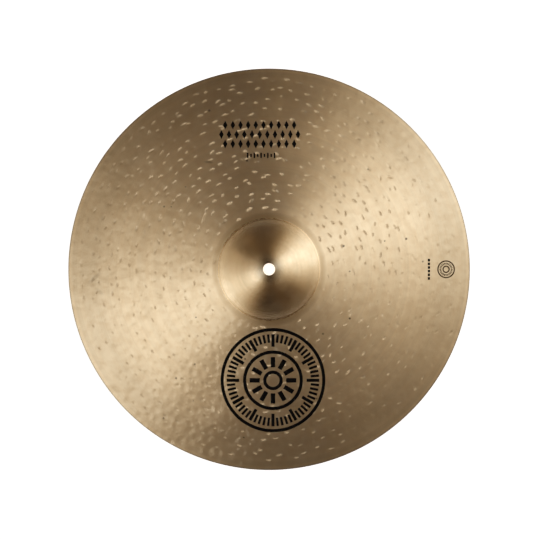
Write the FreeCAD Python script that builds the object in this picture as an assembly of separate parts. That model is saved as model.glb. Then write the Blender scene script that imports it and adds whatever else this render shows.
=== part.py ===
"""Crash cymbal, 17 inch: one thin bronze disc with a domed bell and a centre hole.

Lengths are in millimetres. The cymbal's axis is Z, with +Z out of the playing side,
and the origin is the centre of the ring that the rim rests on.

Seen in section, from the axis outwards, the playing side is a bell arc, a small hollow
arc at the foot of the bell, and a long bow arc down to the rim. Every long arc has its
centre on the axis, so it turns into a part of a sphere. The inside follows the playing
side one wall below it, and the wall gets thinner from the bell to the rim.
"""
import FreeCAD, Part
import math
import os

# Playing side
RIM_DIAMETER = 431.8    # 17 inches
BELL_DIAMETER = 108.0   # where the bell arc and the bow arc would cross
HOLE_DIAMETER = 12.7    # half an inch, the usual hole for a stand's sleeved rod
BOW_RISE = 22.5         # from the rim plane up to the foot of the bell
BELL_RISE = 21.0        # from the foot of the bell up to its crown
FOOT_RADIUS = 5.0       # hollow arc between the bell and the bow

# Wall, square to the surface
RIM_WALL = 0.78
FOOT_WALL = 1.10
BELL_WALL = 1.30

# Edges
RIM_LAND = 0.6          # width of the ring under the rim, rounding included
RIM_ROUND = 0.25        # rounding of the rim's two corners
HOLE_ROUND = 0.25       # rounding of the hole's two corners
ROUND_SHARE = 0.4       # a rounding takes at most this share of its wall


class Cap:
    """A part of a sphere centred on the axis, seen in section as an arc through two points."""

    def __init__(self, outer_r, outer_z, inner_r, inner_z):
        across = inner_r ** 2 - outer_r ** 2 + inner_z ** 2 - outer_z ** 2
        self.centre_z = across / (2 * (inner_z - outer_z))
        self.radius = math.hypot(outer_r, outer_z - self.centre_z)

    def offset_inwards(self, distance):
        """The concentric cap that lies this far inside."""
        inner = Cap.__new__(Cap)
        inner.centre_z = self.centre_z
        inner.radius = self.radius - distance
        return inner

    def height(self, r):
        return self.centre_z + math.sqrt(self.radius ** 2 - r ** 2)

    def slope(self, r):
        """The angle between the cap and the rim plane, at distance r from the axis."""
        return math.asin(r / self.radius)

    def point(self, r):
        return FreeCAD.Vector(r, 0, self.height(r))

    def towards(self, target, distance):
        """The point at this distance from the cap's centre, in the direction of target."""
        centre = FreeCAD.Vector(0, 0, self.centre_z)
        return centre + (target - centre).normalize() * distance

    def arc(self, start, end):
        """The edge along the cap between two points on it."""
        middle = self.towards((start + end) / 2, self.radius)
        return Part.Arc(start, middle, end).toShape()


def foot_arc(bow, bell, radius):
    """The hollow arc that is tangent to both caps, as (point on the bell, middle, point on the bow)."""
    reach_bow = bow.radius + radius
    reach_bell = bell.radius + radius
    centres = bell.centre_z ** 2 - bow.centre_z ** 2
    z = (reach_bow ** 2 - reach_bell ** 2 + centres) / (2 * (bell.centre_z - bow.centre_z))
    r = math.sqrt(reach_bow ** 2 - (z - bow.centre_z) ** 2)
    centre = FreeCAD.Vector(r, 0, z)
    on_bell = bell.towards(centre, bell.radius)
    on_bow = bow.towards(centre, bow.radius)
    middle = centre + (on_bell + on_bow - centre * 2).normalize() * radius
    return on_bell, middle, on_bow


def side(bow, bell, foot_radius, hole_r, rim_r):
    """The edges of one side of the section, from the hole out to the rim."""
    on_bell, middle, on_bow = foot_arc(bow, bell, foot_radius)
    return [
        bell.arc(bell.point(hole_r), on_bell),
        Part.Arc(on_bell, middle, on_bow).toShape(),
        bow.arc(on_bow, bow.point(rim_r)),
    ]


def caps():
    """The bow and the bell of the playing side, then the bow and the bell of the inside."""
    rim_r = RIM_DIAMETER / 2
    bell_r = BELL_DIAMETER / 2
    crown_z = BOW_RISE + BELL_RISE
    bow = Cap(rim_r, RIM_WALL, bell_r, BOW_RISE)
    bell = Cap(bell_r, BOW_RISE, 0, crown_z)
    foot_drop = FOOT_WALL / math.cos(bow.slope(bell_r))
    inner_bow = Cap(rim_r - RIM_LAND, 0, bell_r, BOW_RISE - foot_drop)
    return bow, bell, inner_bow, bell.offset_inwards(BELL_WALL)


def section():
    """The wall of the cymbal on the +X side of the axis, as a face."""
    bow, bell, inner_bow, inner_bell = caps()
    rim_r = RIM_DIAMETER / 2
    hole_r = HOLE_DIAMETER / 2
    land_r = rim_r - RIM_LAND
    foot_wall = (FOOT_WALL + BELL_WALL) / 2
    outside = side(bow, bell, FOOT_RADIUS, hole_r, rim_r)
    inside = side(inner_bow, inner_bell, FOOT_RADIUS + foot_wall, hole_r, land_r)
    rim_corner = FreeCAD.Vector(rim_r, 0, 0)
    rest = [
        Part.makeLine(bow.point(rim_r), rim_corner),
        Part.makeLine(rim_corner, inner_bow.point(land_r)),
        Part.makeLine(inner_bell.point(hole_r), bell.point(hole_r)),
    ]
    wire = Part.Wire(Part.__sortEdges__(outside + inside + rest))
    return Part.Face(wire)


def ring_edges(shape, radius):
    """The circular edges of this radius about the axis."""
    rings = [e for e in shape.Edges if isinstance(e.Curve, Part.Circle)]
    on_axis = [e for e in rings if math.hypot(e.Curve.Center.x, e.Curve.Center.y) < 1e-6]
    return [e for e in on_axis if abs(e.Curve.Radius - radius) < 1e-6]


def cymbal():
    axis_point = FreeCAD.Vector(0, 0, 0)
    axis = FreeCAD.Vector(0, 0, 1)
    solid = section().revolve(axis_point, axis, 360)
    rim_round = min(RIM_ROUND, ROUND_SHARE * RIM_WALL)
    hole_round = min(HOLE_ROUND, ROUND_SHARE * BELL_WALL)
    solid = solid.makeFillet(rim_round, ring_edges(solid, RIM_DIAMETER / 2))
    return solid.makeFillet(hole_round, ring_edges(solid, HOLE_DIAMETER / 2))


os.makedirs("parts", exist_ok=True)
shape = cymbal()
print("solids", len(shape.Solids), "valid", shape.isValid(), "volume", round(shape.Volume))
shape.exportStep("parts/cymbal.step")
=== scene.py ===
"""The looks of a 17-inch crash cymbal: hammered, lathed bronze with plain black ink marks.

Units are metres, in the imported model's frame: the cymbal's axis is Z, the rim rests on z = 0,
and +Y is up in the main view. Angles round the axis are in degrees from +X.
"""
import math

import bpy
import numpy as np
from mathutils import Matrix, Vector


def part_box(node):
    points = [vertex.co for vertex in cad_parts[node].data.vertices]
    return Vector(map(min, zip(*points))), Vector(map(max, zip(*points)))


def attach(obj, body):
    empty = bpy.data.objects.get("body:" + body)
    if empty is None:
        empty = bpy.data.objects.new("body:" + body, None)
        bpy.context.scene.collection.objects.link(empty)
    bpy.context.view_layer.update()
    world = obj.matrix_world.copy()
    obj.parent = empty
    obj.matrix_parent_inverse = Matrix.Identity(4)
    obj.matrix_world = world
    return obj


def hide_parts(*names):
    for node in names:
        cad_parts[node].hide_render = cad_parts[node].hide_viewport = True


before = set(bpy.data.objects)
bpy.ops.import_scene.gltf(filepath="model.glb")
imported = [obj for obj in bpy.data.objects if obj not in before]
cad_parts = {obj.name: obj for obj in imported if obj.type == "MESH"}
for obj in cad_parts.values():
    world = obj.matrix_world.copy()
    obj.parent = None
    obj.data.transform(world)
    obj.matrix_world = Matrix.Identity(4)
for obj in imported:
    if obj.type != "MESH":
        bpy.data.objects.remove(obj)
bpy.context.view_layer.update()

MM = 0.001
low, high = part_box("cymbal")

# The section, as in the metal's construction
RIM_R = high[0]
HOLE_R = 6.35 * MM
BELL_R = 54.0 * MM
BOW_RISE = 22.5 * MM
BELL_RISE = 21.0 * MM
FOOT_RADIUS = 5.0 * MM
RIM_WALL = 0.78 * MM
FOOT_WALL = 1.10 * MM
BELL_WALL = 1.30 * MM
RIM_LAND = 0.6 * MM
RIM_ROUND = 0.25 * MM
HOLE_ROUND = 0.25 * MM

# The mesh
TOP_SEGMENTS = 1200
UNDER_SEGMENTS = TOP_SEGMENTS // 2
BOW_STEP = 0.70 * MM
BELL_STEP = 0.9 * MM
FOOT_STEP = 0.35 * MM
UNDER_STEP = 1.3 * MM

# The points of each small rounding at the rim and the hole
ARC_POINTS = 4

# How much of a dimple's depth shows on the inside
DIMPLE_SHOWS = 0.8

SEED = 17
PIT_COUNT = 22

# Rough rings of hammer marks: first and last radius, spacing, pitch along a ring and scatter
DIMPLE_RINGS = (66 * MM, 212 * MM, 8.5 * MM, 10.5 * MM, 2.0 * MM)
NICK_RINGS = (64 * MM, 208 * MM, 9.8 * MM, 14.0 * MM, 2.6 * MM)

# Sides where the hammering differs: azimuth, how narrow, and how much
DEEP_DIMPLES = ((238, 4, 0.95), (350, 8, 0.55))
LIGHT_NICKS = ((212, 9, 1.0), (322, 5, 0.65))
SOFT_RIM_NICKS = (8, 4, 0.75)

# Where the nicks start to fade towards the rim, and where they turn soft on the soft side
FADE_START, FADE_REACH = 150 * MM, 60 * MM
SOFT_START, SOFT_REACH = 132 * MM, 18 * MM

# Slow waves in the metal: length and height in mm, and how many of each
WAVES = ((90, 0.10), (55, 0.07), (34, 0.035), (22, 0.015))
WAVES_EACH = 5
WAVE_GAIN = 0.45

# Smudges: share of the way from the bell to the rim, azimuth, half-length and half-width in mm,
# turn, darkness
SMUDGES = (
    (0.83, 183.0, 10, 3.0, 0.9, 0.16),
    (0.80, 187.5, 7, 2.5, -0.8, 0.12),
    (0.48, 119.5, 6, 1.5, 0.6, 0.30),
)

# Ink: how far it stands proud of the metal and reaches into it, and the size of its faces in mm
INK_LIFT = 0.07 * MM
INK_SINK = 0.10 * MM
INK_STEP = 0.9

# The marks: the place of each as a share of the way from the bell's foot to the rim and an azimuth
DIAL_PLACE = (0.40, -88)
LOZENGE_PLACE = (0.56, 94)
TICK_PLACE = (0.42, 94)
BLOCK_PLACE = (0.725, 0)
RIM_DIAL_PLACE = (0.84, 0)

# Their sizes in mm: rings as inner and outer radius, spokes as start, end and half-width
DIAL_RINGS = ((52.6, 56.0), (28.5, 32.0), (7.0, 10.5))
DIAL_TICKS = 60
DIAL_TICK = (40.5, 49.5, 1.3)
DIAL_LONG_TICK = (36.0, 49.5, 1.7)
LONG_TICK_EVERY = 5
DIAL_BLOCKS = 12
DIAL_BLOCK = (14.0, 25.0, 2.4)
LOZENGE_ROWS = ((-1, 10), (0, 11), (1, 10))
LOZENGE_STEP, LOZENGE_ROW_HEIGHT = 8.2, 10.2
LOZENGE_HALF = (2.4, 4.9)
TICKS, TICK_PITCH, TICK_WIDTH = 9, 3.6, 1.7
TICK_HEIGHTS = (5.6, 3.4)
BLOCKS, BLOCK_PITCH = 6, 3.9
BLOCK_SIZE = (2.4, 2.9)
RIM_DIAL_RINGS = ((8.2, 9.6), (2.6, 4.0))
RIM_DIAL_SPOKES = 24
RIM_DIAL_SPOKE = (5.2, 7.2, 0.5)

# How much rougher the metal is inside a hammer's nick
STRUCK_ROUGHNESS = 0.11

# The metal's colours, with the brown of the painted shade at the bell's foot, and those of its pits and of
# the inks, fresh and worn
BRONZE = (0.83, 0.665, 0.43, 1)
PALE_BRONZE = (0.88, 0.71, 0.465, 1)
MOTTLE = (0.70, 0.53, 0.32, 1)
GROOVE = (0.60, 0.42, 0.22, 1)
WARM_TONE = (0.78, 0.58, 0.34, 1)
# Brown painted shade for the crease round the bell's foot
FOOT_SHADE = (0.58, 0.42, 0.23, 1)
PIT = (0.03, 0.02, 0.01, 1)
BLACK_INK = ((0.002, 0.002, 0.002, 1), (0.012, 0.009, 0.006, 1))
ETCHED_BRONZE = ((0.10, 0.062, 0.028, 1), (0.24, 0.165, 0.09, 1))

# Painted highlights: brighter rings at the bell's foot and just inside the rim: radius, half-width, gain
PAINTED_HIGHLIGHT_RINGS = (
    (BELL_R + 0.1 * MM, 1.0 * MM, 0.24),
    (RIM_R - 3.0 * MM, 2.2 * MM, 0.08),
)

# Soft boxes: azimuth, then brightness and tightness, each at the top, middle and foot of the box
SOFT_BOXES = (
    (24, (0.95, 1.10, 1.15), (6, 11, 10)),
    (207, (1.50, 0.70, 1.15), (10, 14, 12)),
)

# Cards in the studio: azimuth, height, half-widths round and up, and the light's change:
# below 0 for a dark card, above 0 for a pale one
CARDS = (
    (270, 0.54, 27, 0.18, -1.00),
    (312, 0.62, 18, 0.15, -0.75),
    (90, 0.54, 26, 0.12, -0.70),
    (140, 0.56, 14, 0.13, -0.85),
    (174, 0.86, 14, 0.08, -0.30),
    (115, 0.77, 60, 0.11, 0.90),
    (165, 0.77, 22, 0.11, 0.50),
    (234, 0.78, 22, 0.12, 0.35),
    (333, 0.72, 30, 0.17, 0.40),
)

# Two narrow lights: azimuth and tightness round the horizon
OVERHEAD = (321, 12.0)
BESIDE = (157, 16.0)

# The dim room's own light, at the top, middle and foot
ROOM_LIGHT = (0.0, 0.044, 0.05)

# The least and most light from any direction, and its colour: red, green and blue gains and powers
LEAST_LIGHT, MOST_LIGHT = 0.002, 1.3
LIGHT_GAINS = (1.22, 1.23, 1.27)
LIGHT_POWERS = (1.03, 1.24, 1.57)

# The light table under the cymbal: half its side, and how far below the rim it lies
FLOOR_HALF = 30.0
FLOOR_DROP = 0.2 * MM

# The camera, straight above: its place, and the width it sees at the rim's level
CAMERA_PLACE = (0.00097, -0.00075, 2.5)
FRAME_WIDTH = 0.581
SENSOR_WIDTH = 36.0


# ---------------------------------------------------------------- the section

class Cap:
    """A part of a sphere centred on the axis."""

    def __init__(self, centre_z, radius):
        self.centre_z = centre_z
        self.radius = radius

    @classmethod
    def through(cls, outer, inner):
        (r0, z0), (r1, z1) = outer, inner
        centre_z = (r1 ** 2 - r0 ** 2 + z1 ** 2 - z0 ** 2) / (2 * (z1 - z0))
        return cls(centre_z, math.hypot(r0, z0 - centre_z))

    def height(self, r):
        return self.centre_z + np.sqrt(self.radius ** 2 - r ** 2)


class Side:
    """One face of the wall: a bell cap, a hollow arc at the foot, and a bow cap."""

    def __init__(self, bow, bell, foot_radius):
        self.bow, self.bell, self.foot_radius = bow, bell, foot_radius
        reach_bow = bow.radius + foot_radius
        reach_bell = bell.radius + foot_radius
        centres = bell.centre_z ** 2 - bow.centre_z ** 2
        self.foot_z = (reach_bow ** 2 - reach_bell ** 2 + centres) / (2 * (bell.centre_z - bow.centre_z))
        self.foot_r = math.sqrt(reach_bow ** 2 - (self.foot_z - bow.centre_z) ** 2)
        self.bell_end = self.foot_r * bell.radius / reach_bell
        self.bow_start = self.foot_r * bow.radius / reach_bow

    def height(self, r):
        r = np.asarray(r, float)
        foot = self.foot_z - np.sqrt(np.maximum(self.foot_radius ** 2 - (r - self.foot_r) ** 2, 0))
        bell = self.bell.height(np.minimum(r, self.bell_end))
        bow = self.bow.height(np.maximum(r, self.bow_start))
        return np.where(r < self.bell_end, bell, np.where(r > self.bow_start, bow, foot))


def make_sides():
    bow = Cap.through((RIM_R, RIM_WALL), (BELL_R, BOW_RISE))
    bell = Cap.through((BELL_R, BOW_RISE), (0, BOW_RISE + BELL_RISE))
    drop = FOOT_WALL / math.cos(math.asin(BELL_R / bow.radius))
    inner_bow = Cap.through((RIM_R - RIM_LAND, 0), (BELL_R, BOW_RISE - drop))
    inner_bell = Cap(bell.centre_z, bell.radius - BELL_WALL)
    inner_foot = FOOT_RADIUS + (FOOT_WALL + BELL_WALL) / 2
    return Side(bow, bell, FOOT_RADIUS), Side(inner_bow, inner_bell, inner_foot)


TOP, UNDER = make_sides()


def steps(start, stop, step):
    """Radii from start to stop, the stop left out."""
    return np.linspace(start, stop, max(2, round((stop - start) / step)), endpoint=False)


def ring_radii(side, hole_end, rim_end, bow_step):
    """The radii of a face's rings, closest together at the foot of the bell."""
    foot_in, foot_out = side.bell_end - 1 * MM, side.bow_start + 1 * MM
    return np.concatenate([
        steps(hole_end, foot_in, BELL_STEP),
        steps(foot_in, foot_out, FOOT_STEP),
        steps(foot_out, rim_end, bow_step),
        [rim_end],
    ])


# ---------------------------------------------------------------- hammering

class Relief:
    """Polar grids over one face of the metal: how deep it is pressed, how far struck, how pitted."""

    def __init__(self, radii, segments):
        self.radii, self.segments = radii, segments
        self.angles = np.arange(segments) * 2 * math.pi / segments
        self.depth = np.zeros((len(radii), segments))
        self.struck = np.zeros_like(self.depth)
        self.pitted = np.zeros_like(self.depth)

    def oval(self, r, angle, length, width, turn):
        """The grid cells of an oval, and how far out each is: 0 in the middle, 1 at the edge."""
        reach = max(length, width) * 1.05
        rows = np.arange(*np.searchsorted(self.radii, (r - reach, r + reach)))
        span = int(reach / (r * 2 * math.pi / self.segments)) + 1
        middle = round(angle / (2 * math.pi) * self.segments)
        columns = np.arange(middle - span, middle + span + 1)
        along = r * (columns * 2 * math.pi / self.segments - angle)[None, :]
        across = (self.radii[rows] - r)[:, None]
        u = (along * math.cos(turn) + across * math.sin(turn)) / length
        v = (across * math.cos(turn) - along * math.sin(turn)) / width
        return np.ix_(rows, columns % self.segments), np.minimum(np.sqrt(u ** 2 + v ** 2), 1)

    def dimple(self, r, angle, length, width, depth, turn):
        """A broad round-bottomed dimple: half its length along the ring, half its width across it."""
        cells, q = self.oval(r, angle, length, width, turn)
        self.depth[cells] += depth * (1 - q ** 2) ** 2

    def nick(self, r, angle, length, width, depth, turn, force):
        """A small sharp hammer mark; a forceful one has wiped the lathe's grooves away."""
        cells, q = self.oval(r, angle, length, width, turn)
        self.depth[cells] += depth * (1 - q) ** 1.2
        self.struck[cells] = np.maximum(self.struck[cells], np.clip((1 - q) * 2.5, 0, 1) * force)

    def stain(self, r, angle, length, width, turn, darkness):
        """A dark patch with soft edges: a pit left by the casting, or a smudge."""
        cells, q = self.oval(r, angle, length, width, turn)
        self.pitted[cells] = np.maximum(self.pitted[cells], darkness * np.clip((1 - q) * 2, 0, 1))


def ring_marks(rng, first, last, spacing, pitch, scatter):
    """Places of hammer marks in rough rings: (radius, angle) pairs."""
    places = []
    for r in np.arange(first, last, spacing):
        count = int(2 * math.pi * r / pitch)
        start = rng.uniform(0, 2 * math.pi)
        for k in range(count):
            jitter = rng.normal(0, scatter, 2)
            places.append((r + jitter[0], start + 2 * math.pi * k / count + jitter[1] / r))
    return places


def side_share(angle, azimuth, power, gain):
    """The gain at this azimuth, falling off to 0 opposite it."""
    return gain * (0.5 + 0.5 * math.cos(angle - math.radians(azimuth))) ** power


def hammer_dimples(rng):
    """The broad shallow dimples of the first hammering, deeper on two sides."""
    marks = []
    for r, angle in ring_marks(rng, *DIMPLE_RINGS):
        length = rng.uniform(4.5, 7.5) * MM
        width = length * rng.uniform(0.6, 0.9)
        deep = 0.85 + sum(side_share(angle, *side) for side in DEEP_DIMPLES)
        depth = rng.uniform(0.03, 0.085) * MM * deep
        marks.append((r, angle, length, width, depth, rng.normal(0, 0.5)))
    return marks


def hammer_nicks(rng):
    """The small sharp marks of the last hammering, long ways round the cymbal.

    They are lighter on two sides, and fewer wipe the grooves away near the rim on a third.
    """
    marks = []
    for r, angle in ring_marks(rng, *NICK_RINGS):
        fade = 1 - 0.3 * max(0, (r - FADE_START) / FADE_REACH)
        light = max(side_share(angle, *side) for side in LIGHT_NICKS)
        size = 1 - 0.3 * light
        length = rng.uniform(2.7, 4.6) * MM * size
        width = rng.uniform(1.3, 2.0) * MM * size
        depth = length * rng.uniform(0.03, 0.12) * fade
        soft = np.clip((r - SOFT_START) / SOFT_REACH, 0, 1) * side_share(angle, *SOFT_RIM_NICKS)
        force = 1.0 if rng.random() < 0.85 - 0.45 * light - soft else 0.4
        marks.append((r, angle, length, width, depth, rng.normal(0, 0.24), force))
    return marks


def pits(rng):
    """A few pits, scattered over the bow, and the smudges of handling."""
    places = []
    for _ in range(PIT_COUNT):
        r, angle = rng.uniform(80, 205) * MM, rng.uniform(0, 2 * math.pi)
        size = rng.uniform(0.9, 1.6) * MM
        places.append((r, angle, size, size, 0, rng.uniform(0.5, 1.0)))
    for share, angle, length, width, turn, darkness in SMUDGES:
        r = BELL_R + share * (RIM_R - BELL_R)
        places.append((r, math.radians(angle), length * MM, width * MM, turn, darkness))
    return places


def warp(rng, radii, angles):
    """The slow waviness that hammering leaves in thin metal."""
    r, a = np.meshgrid(radii, angles, indexing="ij")
    x, y = r * np.cos(a), r * np.sin(a)
    wave = np.zeros_like(x)
    for length, height in WAVES:
        for _ in range(WAVES_EACH):
            turn, phase = rng.uniform(0, 2 * math.pi, 2)
            k = 2 * math.pi / (length * MM * rng.uniform(0.8, 1.25))
            wave += height * MM * WAVE_GAIN * np.sin(k * (x * math.cos(turn) + y * math.sin(turn)) + phase)
    inside, outside = BELL_R + 6 * MM, RIM_R - 2 * MM
    fade_in = np.clip((r - BELL_R) / (inside - BELL_R), 0, 1)
    fade_out = np.clip((RIM_R - r) / (RIM_R - outside), 0, 1)
    return wave * fade_in * fade_out


# ---------------------------------------------------------------- the mesh

def grid_faces(first, rows, columns):
    """Quads between the rings of a closed polar grid whose first vertex is `first`."""
    i, j = np.meshgrid(np.arange(rows - 1), np.arange(columns), indexing="ij")
    k = (j + 1) % columns
    a, b = first + i * columns + j, first + i * columns + k
    c, d = first + (i + 1) * columns + k, first + (i + 1) * columns + j
    return np.stack([a, d, c, b], axis=-1).reshape(-1, 4)


def polar_points(radii, heights, segments):
    angles = np.arange(segments) * 2 * math.pi / segments
    x = radii[:, None] * np.cos(angles)[None, :]
    y = radii[:, None] * np.sin(angles)[None, :]
    z = np.broadcast_to(heights.reshape(len(radii), -1), x.shape)
    return np.stack([x, y, z], axis=-1).reshape(-1, 3)


def stitch(fine_first, fine_count, coarse_first, coarse_count):
    """Triangles that join a ring to one with half as many vertices."""
    j = np.arange(coarse_count)
    coarse, coarse_next = coarse_first + j, coarse_first + (j + 1) % coarse_count
    fine = [fine_first + (2 * j + k) % fine_count for k in range(3)]
    return np.concatenate([
        np.stack([fine[0], coarse, fine[1]], axis=-1),
        np.stack([fine[1], coarse, coarse_next], axis=-1),
        np.stack([fine[1], coarse_next, fine[2]], axis=-1),
    ])


def arc(centre_r, centre_z, radius, start, stop):
    """Radii and heights along a small rounding, angles in degrees from the outward direction."""
    turn = np.radians(np.linspace(start, stop, ARC_POINTS))
    return centre_r + radius * np.cos(turn), centre_z + radius * np.sin(turn)


def with_roundings(first, face, last, segments):
    """A face's radii and heights with a rounding before and after it."""
    ones = np.ones((1, segments))
    radii = np.concatenate([first[0], face[0], last[0]])
    heights = np.concatenate([first[1][:, None] * ones, face[1], last[1][:, None] * ones])
    return radii, heights


def playing_side(rng, dimples, nicks):
    """The hammered face, hole to rim: its rings, its relief, and the surface that ink follows."""
    radii = ring_radii(TOP, HOLE_R + HOLE_ROUND, RIM_R - RIM_ROUND, BOW_STEP)
    relief = Relief(radii, TOP_SEGMENTS)
    for mark in dimples:
        relief.dimple(*mark)
    for mark in nicks:
        relief.nick(*mark)
    for mark in pits(rng):
        relief.stain(*mark)
    heights = TOP.height(radii)[:, None] - relief.depth + warp(rng, radii, relief.angles)
    hole = arc(HOLE_R + HOLE_ROUND, TOP.height(HOLE_R) - HOLE_ROUND, HOLE_ROUND, 180, 100)
    rim = arc(RIM_R - RIM_ROUND, TOP.height(RIM_R) - RIM_ROUND, RIM_ROUND, 70, 0)
    rings = with_roundings(hole, (radii, heights), rim, TOP_SEGMENTS)
    return rings, relief, Surface(radii, heights)


def inside(dimples):
    """The face underneath, rim to hole, where the dimples show through."""
    radii = ring_radii(UNDER, HOLE_R + HOLE_ROUND, RIM_R - RIM_LAND, UNDER_STEP)
    relief = Relief(radii, UNDER_SEGMENTS)
    for mark in dimples:
        relief.dimple(*mark)
    heights = np.maximum(UNDER.height(radii)[:, None] - DIMPLE_SHOWS * relief.depth, 0)
    rim = arc(RIM_R - RIM_ROUND, RIM_ROUND, RIM_ROUND, 0, -90)
    hole = arc(HOLE_R + HOLE_ROUND, UNDER.height(HOLE_R) + HOLE_ROUND, HOLE_ROUND, 260, 180)
    return with_roundings(rim, (radii[::-1], heights[::-1]), hole, UNDER_SEGMENTS)


def mark_faces(cymbal, relief, quads):
    """Records how pitted each vertex is, and gives the second material to the faces nicks have struck."""
    first = ARC_POINTS * TOP_SEGMENTS
    pitted = np.zeros(len(cymbal.data.vertices))
    pitted[first:first + relief.pitted.size] = relief.pitted.ravel()
    layer = cymbal.data.attributes.new("pitted", "FLOAT", "POINT")
    layer.data.foreach_set("value", pitted.astype(np.float32))
    struck = np.zeros(len(cymbal.data.vertices))
    struck[first:first + relief.struck.size] = relief.struck.ravel()
    kinds = np.zeros(len(cymbal.data.polygons), np.int32)
    kinds[:len(quads)] = struck[quads].mean(axis=1) > 0.5
    cymbal.data.polygons.foreach_set("material_index", kinds)


def build_cymbal():
    rng = np.random.default_rng(SEED)
    dimples, nicks = hammer_dimples(rng), hammer_nicks(rng)
    top, relief, surface = playing_side(rng, dimples, nicks)
    under = inside(dimples)
    top_points = polar_points(*top, TOP_SEGMENTS)
    points = np.concatenate([top_points, polar_points(*under, UNDER_SEGMENTS)])
    quads = np.concatenate([
        grid_faces(0, len(top[0]), TOP_SEGMENTS),
        grid_faces(len(top_points), len(under[0]), UNDER_SEGMENTS),
    ])
    rim_ring = len(top_points) - TOP_SEGMENTS
    hole_ring = len(points) - UNDER_SEGMENTS
    rim = stitch(rim_ring, TOP_SEGMENTS, len(top_points), UNDER_SEGMENTS)
    hole = stitch(0, TOP_SEGMENTS, hole_ring, UNDER_SEGMENTS)[:, ::-1]
    cymbal = make_mesh("cymbal_bronze", points, quads, np.concatenate([rim, hole]))
    mark_faces(cymbal, relief, quads)
    unwrap(cymbal, top, under, quads, (rim, hole))
    return cymbal, surface


def unwrap(cymbal, top, under, quads, joins):
    """The bake's map: the playing side as one large disc, the inside as a small one in its corner."""
    disc_r, small_r = 0.395, 0.183

    def profile(radii, heights):
        """How far each ring is along the section, counted from the first."""
        level = heights.mean(axis=1)
        return np.concatenate([[0], np.cumsum(np.hypot(np.diff(radii), np.diff(level)))])

    def disc(along, segments, radius, centre, flip):
        angles = np.arange(segments) * 2 * math.pi / segments
        far = along / along.max() * radius
        u = centre + flip * far[:, None] * np.cos(angles)[None]
        v = centre + far[:, None] * np.sin(angles)[None]
        return np.stack([u, v], axis=-1).reshape(-1, 2)

    wall = 1.0 * MM
    top_along = np.concatenate([[0], wall + profile(*top), [0]]) + (HOLE_R - wall)
    top_along[-1] = top_along[-2] + wall
    under_along = profile(*under)
    under_along = under_along[-1] - under_along + HOLE_R
    big = disc(top_along, TOP_SEGMENTS, disc_r, disc_r + 0.003, 1)
    small = disc(under_along, UNDER_SEGMENTS, small_r, 1 - small_r - 0.003, -1)
    uv = np.concatenate([big[TOP_SEGMENTS:-TOP_SEGMENTS], small])
    coordinates = [uv[quads.ravel()]]
    edges = (big[-TOP_SEGMENTS:], big[:TOP_SEGMENTS])
    count = len(top[0]) * TOP_SEGMENTS
    for triangles, edge in zip(joins, edges):
        corner = triangles.ravel()
        share = (corner - count) % UNDER_SEGMENTS * (TOP_SEGMENTS // UNDER_SEGMENTS)
        coordinates.append(np.where((corner < count)[:, None], uv[corner], edge[share]))
    layer = cymbal.data.uv_layers.new(name="OFBake")
    layer.data.foreach_set("uv", np.concatenate(coordinates).astype(np.float32).ravel())


class Surface:
    """The height of the playing side at any place on it."""

    def __init__(self, radii, heights):
        self.radii, self.heights = radii, heights

    def at(self, x, y):
        r, turn = np.hypot(x, y), np.arctan2(y, x) / (2 * math.pi) % 1
        row = np.clip(np.searchsorted(self.radii, r) - 1, 0, len(self.radii) - 2)
        v = (r - self.radii[row]) / (self.radii[row + 1] - self.radii[row])
        columns = self.heights.shape[1]
        column = np.floor(turn * columns).astype(int)
        u = turn * columns - column
        left, right = column % columns, (column + 1) % columns
        near = self.heights[row, left] * (1 - u) + self.heights[row, right] * u
        far = self.heights[row + 1, left] * (1 - u) + self.heights[row + 1, right] * u
        return near * (1 - v) + far * v


def make_mesh(name, points, quads, triangles):
    mesh = bpy.data.meshes.new(name)
    loops = np.concatenate([quads.ravel(), triangles.ravel()]).astype(np.int32)
    starts = np.concatenate([
        np.arange(len(quads)) * 4,
        len(quads) * 4 + np.arange(len(triangles)) * 3,
    ]).astype(np.int32)
    mesh.vertices.add(len(points))
    mesh.vertices.foreach_set("co", points.astype(np.float32).ravel())
    mesh.loops.add(len(loops))
    mesh.loops.foreach_set("vertex_index", loops)
    mesh.polygons.add(len(starts))
    mesh.polygons.foreach_set("loop_start", starts)
    mesh.update(calc_edges=True)
    mesh.shade_smooth()
    piece = bpy.data.objects.new(name, mesh)
    bpy.context.scene.collection.objects.link(piece)
    return piece


# ---------------------------------------------------------------- ink marks

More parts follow.
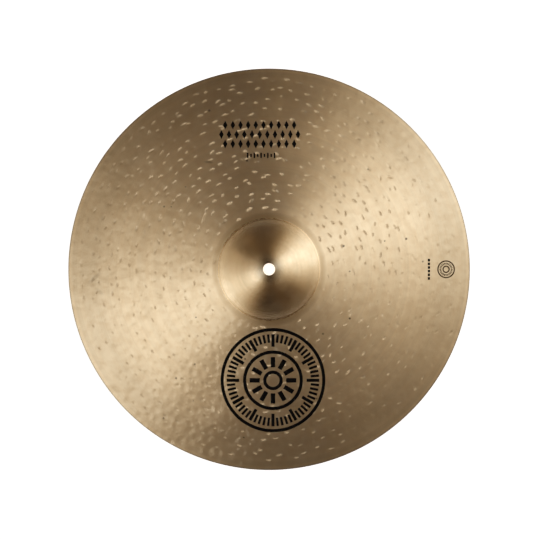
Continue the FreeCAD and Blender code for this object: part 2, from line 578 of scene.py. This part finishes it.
class Ink:
    """A printed mark: thin closed patches of ink that follow the metal. Places are in mm from the axis."""

    def __init__(self, surface, centre):
        self.surface, self.centre = surface, centre
        self.points, self.quads = [], []
        self.count = 0

    def patch(self, x, y, closed=False):
        """One patch from a grid of places; a closed one joins its last row to its first."""
        px, py = (self.centre[0] + x) * MM, (self.centre[1] + y) * MM
        z = self.surface.at(px, py)
        rows, columns = x.shape
        for level in (INK_LIFT, -INK_SINK):
            self.points.append(np.stack([px, py, z + level], axis=-1).reshape(-1, 3))
        index = np.arange(rows * columns).reshape(rows, columns) + self.count
        under = index + rows * columns
        self.count += 2 * rows * columns
        if closed:
            index, under = np.concatenate([index, index[:1]]), np.concatenate([under, under[:1]])
        self.sheet(index)
        self.sheet(under[:, ::-1])
        self.wall(index[:, 0], under[:, 0])
        self.wall(index[::-1, -1], under[::-1, -1])
        if not closed:
            self.wall(index[0, ::-1], under[0, ::-1])
            self.wall(index[-1], under[-1])

    def sheet(self, index):
        corners = (index[:-1, :-1], index[1:, :-1], index[1:, 1:], index[:-1, 1:])
        self.quads.append(np.stack(corners, axis=-1).reshape(-1, 4))

    def wall(self, top, bottom):
        corners = (top[:-1], bottom[:-1], bottom[1:], top[1:])
        self.quads.append(np.stack(corners, axis=-1).reshape(-1, 4))

    def grid(self, long, short):
        """Two grids of 0 to 1, fine enough to follow the metal, for a patch of this size in mm."""
        u = np.linspace(0, 1, max(2, int(long / INK_STEP) + 1))
        v = np.linspace(0, 1, max(2, int(short / INK_STEP) + 1))
        return np.meshgrid(u, v, indexing="ij")

    def four_corners(self, a, b, c, d):
        """A four-sided patch, its corners given in turn, anticlockwise."""
        u, v = self.grid(max(math.dist(a, b), math.dist(d, c)), max(math.dist(a, d), math.dist(b, c)))
        weights = ((1 - u) * (1 - v), u * (1 - v), u * v, (1 - u) * v)
        x = sum(w * corner[0] for w, corner in zip(weights, (a, b, c, d)))
        y = sum(w * corner[1] for w, corner in zip(weights, (a, b, c, d)))
        self.patch(x, y)

    def bar(self, x, y, width, height):
        """An upright bar about (x, y)."""
        w, h = width / 2, height / 2
        self.four_corners((x - w, y - h), (x + w, y - h), (x + w, y + h), (x - w, y + h))

    def ring(self, inner, outer):
        """A ring about the mark's middle."""
        turn = np.linspace(0, 2 * math.pi, int(2 * math.pi * outer / INK_STEP), endpoint=False)[:, None]
        radius = np.linspace(outer, inner, max(2, int((outer - inner) / INK_STEP) + 1))[None]
        self.patch(radius * np.cos(turn), radius * np.sin(turn), closed=True)

    def spoke(self, azimuth, inner, outer, half):
        """A block that points outwards from the mark's middle."""
        a = math.radians(azimuth)
        cos, sin = math.cos(a), math.sin(a)
        corners = ((inner, -half), (outer, -half), (outer, half), (inner, half))
        self.four_corners(*[(r * cos - t * sin, r * sin + t * cos) for r, t in corners])

    def build(self, name, material, slot):
        quads = np.concatenate(self.quads)
        mark = make_mesh(name, np.concatenate(self.points), quads, np.zeros((0, 3), int))
        mark.data.materials.append(material)
        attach(mark, "root")
        return mark


def on_bow(share, azimuth):
    """A place on the bow in mm: `share` of the way from the bell's foot to the rim."""
    r = (BELL_R + share * (RIM_R - BELL_R)) / MM
    a = math.radians(azimuth)
    return r * math.cos(a), r * math.sin(a)


def dial(surface):
    """A large plain dial: three rings, a track of even ticks and one of even blocks."""
    ink = Ink(surface, on_bow(*DIAL_PLACE))
    for inner, outer in DIAL_RINGS:
        ink.ring(inner, outer)
    for k in range(DIAL_TICKS):
        ink.spoke(k * 360 / DIAL_TICKS, *(DIAL_TICK if k % LONG_TICK_EVERY else DIAL_LONG_TICK))
    for k in range(DIAL_BLOCKS):
        ink.spoke(k * 360 / DIAL_BLOCKS, *DIAL_BLOCK)
    return ink


def lozenge_band(surface):
    """A band of lozenges in three even rows, the middle one shifted by half a step."""
    ink = Ink(surface, on_bow(*LOZENGE_PLACE))
    half_width, half_height = LOZENGE_HALF
    for row, count in LOZENGE_ROWS:
        for k in range(count):
            x, y = (k - (count - 1) / 2) * LOZENGE_STEP, row * LOZENGE_ROW_HEIGHT
            left, right = (x - half_width, y), (x + half_width, y)
            ink.four_corners(left, (x, y - half_height), right, (x, y + half_height))
    return ink


def tick_scale(surface):
    """A short row of plain ticks, long and short by turns."""
    ink = Ink(surface, on_bow(*TICK_PLACE))
    for k in range(TICKS):
        ink.bar((k - (TICKS - 1) / 2) * TICK_PITCH, 0, TICK_WIDTH, TICK_HEIGHTS[k % 2])
    return ink


def rim_blocks(surface):
    """A column of even blocks beside the small dial."""
    ink = Ink(surface, on_bow(*BLOCK_PLACE))
    for k in range(BLOCKS):
        ink.bar(0, (k - (BLOCKS - 1) / 2) * BLOCK_PITCH, *BLOCK_SIZE)
    return ink


def rim_dial(surface):
    """A small faint dial near the rim."""
    ink = Ink(surface, on_bow(*RIM_DIAL_PLACE))
    for inner, outer in RIM_DIAL_RINGS:
        ink.ring(inner, outer)
    for k in range(RIM_DIAL_SPOKES):
        ink.spoke(k * 360 / RIM_DIAL_SPOKES, *RIM_DIAL_SPOKE)
    return ink


# ---------------------------------------------------------------- materials

class Nodes:
    """Short forms for building a node tree."""

    def __init__(self, tree):
        self.tree = tree
        tree.nodes.clear()

    def add(self, kind, **settings):
        node = self.tree.nodes.new("ShaderNode" + kind)
        for key, value in settings.items():
            setattr(node, key, value)
        return node

    def put(self, socket, value):
        if isinstance(value, bpy.types.NodeSocket):
            self.tree.links.new(value, socket)
        else:
            socket.default_value = value

    def math(self, operation, *values, clamp=False):
        node = self.add("Math", operation=operation, use_clamp=clamp)
        for socket, value in zip(node.inputs, values):
            self.put(socket, value)
        return node.outputs[0]

    def noise(self, vector, scale, detail=3.0, roughness=0.5, dimensions="3D"):
        node = self.add("TexNoise", noise_dimensions=dimensions)
        self.put(node.inputs["W" if dimensions == "1D" else "Vector"], vector)
        self.put(node.inputs["Scale"], scale)
        self.put(node.inputs["Detail"], detail)
        self.put(node.inputs["Roughness"], roughness)
        return node.outputs["Fac"]

    def ramp(self, value, low, high, out_low=0.0, out_high=1.0):
        node = self.add("MapRange", interpolation_type="SMOOTHSTEP")
        for socket, number in zip(node.inputs, (value, low, high, out_low, out_high)):
            self.put(socket, number)
        return node.outputs[0]

    def mix(self, factor, first, second):
        node = self.add("Mix", data_type="RGBA")
        self.put(node.inputs[0], factor)
        self.put(node.inputs[6], first)
        self.put(node.inputs[7], second)
        return node.outputs[2]


def bronze_tint(n, place, radius, grooves, tone):
    """The metal's colour: cloudy, mottled, darker in the grooves, and with a brown painted shade round the
    bell's foot.
    """
    clouds = n.noise(place, 22.0, 4.0, 0.55)
    mottle = n.noise(place, 110.0, 3.0, 0.6)
    tint = n.mix(n.ramp(clouds, 0.35, 0.68), BRONZE, PALE_BRONZE)
    tint = n.mix(n.ramp(mottle, 0.45, 0.8, 0.0, 0.15), tint, MOTTLE)
    tint = n.mix(n.ramp(grooves, 0.3, 0.7, 0.0, 0.10), tint, GROOVE)
    tint = n.mix(n.ramp(tone, 0.35, 0.7, 0.0, 0.45), tint, WARM_TONE)
    # Painted shade: a brown band round the crease at the bell's foot
    foot = n.math("ABSOLUTE", n.math("SUBTRACT", radius, BELL_R + 2.8 * MM))
    tint = n.mix(n.ramp(foot, 0.0, 5.5 * MM, 0.62, 0.0), tint, FOOT_SHADE)
    return tint, clouds


def bronze_shade(n, radius, bands):
    """How bright each ring is: painted shade round the hole and along the rim's edge, darker towards the
    rim, painted highlights in thin rings at the bell's foot and just inside the rim, and faint lathe
    bands.
    """
    # Painted shade: the colour darkens round the hole
    shade = n.ramp(radius, HOLE_R, HOLE_R + 13 * MM, 0.42, 1.0)
    # Painted shade: a dark line along the rim's rounded edge
    shade = n.math("MULTIPLY", shade, n.ramp(radius, RIM_R - 1.1 * MM, RIM_R - 0.3 * MM, 1.0, 0.5))
    # Painted highlights: thin rings made brighter
    for centre, half, gain in PAINTED_HIGHLIGHT_RINGS:
        offset = n.math("ABSOLUTE", n.math("SUBTRACT", radius, centre))
        shade = n.math("MULTIPLY", shade, n.ramp(offset, 0.0, half, 1 + gain, 1.0))
    shade = n.math("MULTIPLY", shade, n.ramp(radius, 150 * MM, 198 * MM, 1.0, 0.87))
    return n.math("MULTIPLY", shade, n.ramp(bands, 0.3, 0.7, 0.96, 1.03))


def bronze_roughness(n, radius, clouds, bands, tone, extra):
    """The polished bell is smoother than the bow."""
    rough = n.ramp(radius, BELL_R - 2 * MM, BELL_R + 3 * MM, 0.15, 0.26)
    rough = n.math("ADD", rough, n.math("MULTIPLY", clouds, 0.04))
    rough = n.math("ADD", rough, n.math("MULTIPLY", bands, 0.04))
    rough = n.math("ADD", rough, n.ramp(tone, 0.3, 0.7, 0.0, 0.05))
    return n.math("ADD", rough, extra)


def bronze_bump(n, place, grooves):
    """A fine grain, and the lathe's grooves."""
    grain = n.noise(place, 260.0, 3.0, 0.7)
    bump = n.add("Bump")
    n.put(bump.inputs["Height"], n.math("MULTIPLY_ADD", grain, 2.6, n.math("MULTIPLY", grooves, 0.12)))
    n.put(bump.inputs["Strength"], 1.0)
    n.put(bump.inputs["Distance"], 0.02 * MM)
    return bump.outputs[0]


def bronze_material(name, anisotropic, extra_roughness):
    """Lathe-turned bronze: its fine grooves run round the axis, so light spreads across them."""
    material = bpy.data.materials.new(name)
    material.use_nodes = True
    n = Nodes(material.node_tree)
    place = n.add("TexCoord").outputs["Object"]
    split = n.add("SeparateXYZ")
    n.put(split.inputs[0], place)
    x, y = split.outputs[0], split.outputs[1]
    radius = n.math("SQRT", n.math("ADD", n.math("MULTIPLY", x, x), n.math("MULTIPLY", y, y)))
    grooves = n.noise(radius, 900.0, 4.0, 0.65, "1D")
    bands = n.noise(radius, 120.0, 2.0, 0.5, "1D")
    tone = n.noise(place, 125.0, 3.0, 0.6)

    tint, clouds = bronze_tint(n, place, radius, grooves, tone)
    shaded = n.add("VectorMath", operation="SCALE")
    n.put(shaded.inputs[0], tint)
    n.put(shaded.inputs["Scale"], bronze_shade(n, radius, bands))
    pitted = n.add("Attribute", attribute_name="pitted").outputs["Fac"]

    shader = n.add("BsdfPrincipled")
    n.put(shader.inputs["Base Color"], n.mix(pitted, shaded.outputs[0], PIT))
    n.put(shader.inputs["Metallic"], 1.0)
    n.put(shader.inputs["Roughness"], bronze_roughness(n, radius, clouds, bands, tone, extra_roughness))
    n.put(shader.inputs["Anisotropic"], anisotropic)
    n.put(shader.inputs["Anisotropic Rotation"], 0.25)
    n.put(shader.inputs["Tangent"], n.add("Tangent", direction_type="RADIAL", axis="Z").outputs[0])
    n.put(shader.inputs["Normal"], bronze_bump(n, place, grooves))
    n.put(n.add("OutputMaterial").inputs["Surface"], shader.outputs[0])
    return material


def ink_material(name, fresh, faded, patchiness):
    """Matt printing ink, a little worn."""
    material = bpy.data.materials.new(name)
    material.use_nodes = True
    n = Nodes(material.node_tree)
    place = n.add("TexCoord").outputs["Object"]
    worn = n.noise(place, 260.0, 4.0, 0.6)
    shader = n.add("BsdfPrincipled")
    n.put(shader.inputs["Base Color"], n.mix(n.ramp(worn, 0.45, 0.75, 0.0, patchiness), fresh, faded))
    n.put(shader.inputs["Roughness"], n.ramp(worn, 0.3, 0.7, 0.5, 0.6))
    n.put(shader.inputs["Specular IOR Level"], 0.05)
    output = n.add("OutputMaterial")
    n.put(output.inputs["Surface"], shader.outputs[0])
    return material


# ---------------------------------------------------------------- the studio

def floor_material():
    material = bpy.data.materials.new("light_table")
    material.use_nodes = True
    n = Nodes(material.node_tree)
    shader = n.add("BsdfPrincipled")
    n.put(shader.inputs["Base Color"], (0.8, 0.8, 0.8, 1))
    n.put(shader.inputs["Roughness"], 0.9)
    n.put(shader.inputs["Emission Color"], (1, 1, 1, 1))
    n.put(shader.inputs["Emission Strength"], 0.75)
    output = n.add("OutputMaterial")
    n.put(output.inputs["Surface"], shader.outputs[0])
    return material


def build_floor():
    mesh = bpy.data.meshes.new("floor")
    corners = ((-1, -1), (1, -1), (1, 1), (-1, 1))
    points = [(x * FLOOR_HALF, y * FLOOR_HALF, -FLOOR_DROP) for x, y in corners]
    mesh.from_pydata(points, [], [(0, 1, 2, 3)])
    floor = bpy.data.objects.new("floor", mesh)
    bpy.context.scene.collection.objects.link(floor)
    mesh.materials.append(floor_material())


class Studio:
    """The light from each direction: a tall soft box on each side of a dim room, with cards."""

    def __init__(self, n):
        self.n = n
        split = n.add("SeparateXYZ")
        n.put(split.inputs[0], n.add("TexCoord").outputs["Generated"])
        self.x, self.y, self.z = split.outputs
        flat = n.math("ADD", n.math("MULTIPLY", self.x, self.x), n.math("MULTIPLY", self.y, self.y))
        self.level = n.math("SQRT", n.math("ADD", flat, 1e-6))
        self.top = n.ramp(self.z, 0.85, 0.98)
        self.zenith = n.ramp(self.z, 0.88, 0.99)
        self.low = n.ramp(self.z, 0.15, 0.50, 1.0, 0.0)

    def zone(self, top, middle, low):
        """A value that changes with height above the horizon."""
        n = self.n
        value = n.math("MULTIPLY_ADD", self.top, top - middle, middle)
        return n.math("ADD", value, n.math("MULTIPLY", self.low, low - middle))

    def facing(self, azimuth):
        """Cosine of the angle round the horizon from this azimuth."""
        n, a = self.n, math.radians(azimuth)
        east = n.math("MULTIPLY", self.x, math.cos(a))
        north = n.math("MULTIPLY", self.y, math.sin(a))
        return n.math("DIVIDE", n.math("ADD", east, north), self.level)

    def lobe(self, azimuth, power):
        """1 at this azimuth, falling off round the horizon."""
        share = self.n.math("MULTIPLY_ADD", self.facing(azimuth), 0.5, 0.5)
        return self.n.math("POWER", self.n.math("MAXIMUM", share, 0.0), power)

    def card(self, azimuth, height, wide, tall):
        """1 on a soft-edged patch, 0 off it."""
        n = self.n
        aside = n.math("SUBTRACT", 1.0, self.facing(azimuth))
        round_way = n.math("DIVIDE", aside, 1 - math.cos(math.radians(wide)))
        up_way = n.math("DIVIDE", n.math("SUBTRACT", self.z, height), tall)
        distance = n.math("ADD", round_way, n.math("MULTIPLY", up_way, up_way))
        return n.ramp(distance, 0.0, 1.6, 1.0, 0.0)

    def light(self):
        n = self.n
        total = self.zone(*ROOM_LIGHT)
        for azimuth, brightness, tightness in SOFT_BOXES:
            box = n.math("MULTIPLY", self.zone(*brightness), self.lobe(azimuth, self.zone(*tightness)))
            total = n.math("ADD", total, box)
        overhead = n.math("MULTIPLY_ADD", self.zenith, 0.40, 0.05)
        overhead = n.math("MULTIPLY", self.lobe(*OVERHEAD), overhead)
        beside = n.math("MULTIPLY_ADD", self.zenith, 0.50, n.ramp(self.z, 0.60, 0.80, 0.28, 0.0))
        beside = n.math("MULTIPLY", self.lobe(*BESIDE), beside)
        total = n.math("ADD", total, n.math("ADD", overhead, beside))
        for azimuth, height, wide, tall, change in CARDS:
            share = n.math("MULTIPLY_ADD", self.card(azimuth, height, wide, tall), change, 1.0)
            total = n.math("MULTIPLY", total, share)
        return n.math("MINIMUM", n.math("MAXIMUM", total, LEAST_LIGHT), MOST_LIGHT)


def build_world():
    world = bpy.data.worlds.new("studio")
    bpy.context.scene.world = world
    world.use_nodes = True
    n = Nodes(world.node_tree)
    light = Studio(n).light()
    colour = n.add("CombineColor")
    for socket, gain, power in zip(colour.inputs, LIGHT_GAINS, LIGHT_POWERS):
        n.put(socket, n.math("MULTIPLY", n.math("POWER", light, power), gain))
    lit = n.add("Background")
    n.put(lit.inputs["Color"], colour.outputs[0])
    n.put(lit.inputs["Strength"], 1.0)
    plain = n.add("Background")
    n.put(plain.inputs["Color"], (1, 1, 1, 1))
    pick = n.add("MixShader")
    n.put(pick.inputs[0], n.add("LightPath").outputs["Is Camera Ray"])
    n.put(pick.inputs[1], lit.outputs[0])
    n.put(pick.inputs[2], plain.outputs[0])
    output = n.add("OutputWorld")
    n.put(output.inputs["Surface"], pick.outputs[0])


def build_camera():
    data = bpy.data.cameras.new("camera")
    data.sensor_width = SENSOR_WIDTH
    data.lens = SENSOR_WIDTH * CAMERA_PLACE[2] / FRAME_WIDTH
    data.clip_end = 100.0
    camera = bpy.data.objects.new("camera", data)
    camera.location = CAMERA_PLACE
    bpy.context.scene.collection.objects.link(camera)
    bpy.context.scene.camera = camera


# ---------------------------------------------------------------- the scene

cymbal, surface = build_cymbal()
cymbal.data.materials.append(bronze_material("turned_bronze", 1.0, 0.0))
cymbal.data.materials.append(bronze_material("struck_bronze", 0.0, STRUCK_ROUGHNESS))
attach(cymbal, "root")
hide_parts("cymbal")

black = ink_material("black_ink", *BLACK_INK, 0.5)
etched = ink_material("etched_bronze", *ETCHED_BRONZE, 0.6)
dial(surface).build("mark_dial", black, "ink")
lozenge_band(surface).build("mark_lozenges", black, "ink")
tick_scale(surface).build("mark_ticks", black, "ink")
rim_blocks(surface).build("mark_blocks", black, "ink")
rim_dial(surface).build("mark_rim_dial", etched, "bronze")

build_floor()
build_world()
build_camera()
bpy.context.scene.view_settings.view_transform = "Standard"
